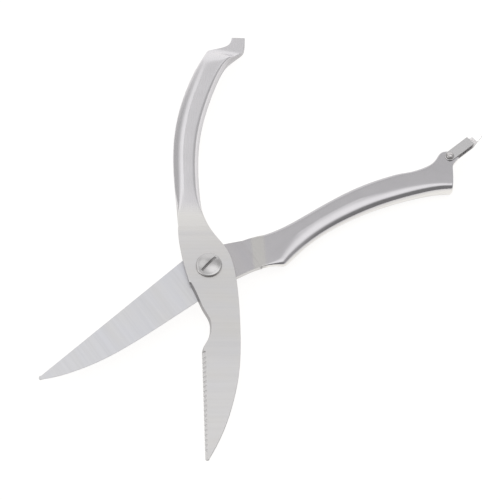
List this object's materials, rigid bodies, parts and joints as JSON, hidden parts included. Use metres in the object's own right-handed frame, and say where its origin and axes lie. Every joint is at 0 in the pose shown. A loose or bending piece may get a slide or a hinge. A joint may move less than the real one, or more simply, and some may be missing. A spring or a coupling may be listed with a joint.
{
  "type": "kitchen shears",
  "caption": "All-steel poultry shears with a serrated upper blade, a bone notch, forged curved handles and a swinging latch.",
  "frame": {"origin": "on the pivot's axis, on the back face of the pivot nut", "axes": "+Z along the pivot, from the nut to the slotted screw; +Y towards the front handle, -Y towards the serrated blade's tip; +X towards the side that the lower handle and the latch are on"},
  "size_m": [0.233, 0.2518, 0.0154],
  "materials": {
    "satin_steel": "finely ground",
    "polished_steel": "polished stainless steel",
    "spring_steel": "drawn wire"
  },
  "bodies": {
    "rear_half": {"rear_blade": "satin_steel", "rear_handle": "polished_steel", "pivot_nut": "polished_steel", "pivot_screw": "polished_steel", "pivot_spring": "spring_steel", "latch_rivet": "polished_steel"},
    "front_half": {"front_blade": "satin_steel", "front_handle": "satin_steel"},
    "latch": {"latch": "satin_steel"}
  },
  "joints": [
    {"name": "pivot", "type": "hinge", "parent": "rear_half", "child": "front_half", "pos_m": [0, 0, 0], "axis": [0, 0, -1], "range_deg": [0, 53], "stiffness_Nm_per_rad": 0.3, "springref_deg": -28.65, "deforming": ["pivot_spring"]},
    {"name": "latch_swing", "type": "hinge", "parent": "rear_half", "child": "latch", "pos_m": [0.13054, 0.06803, 0.0028], "axis": [0, 0, 1], "range_deg": [-95, 80]}
  ]
}
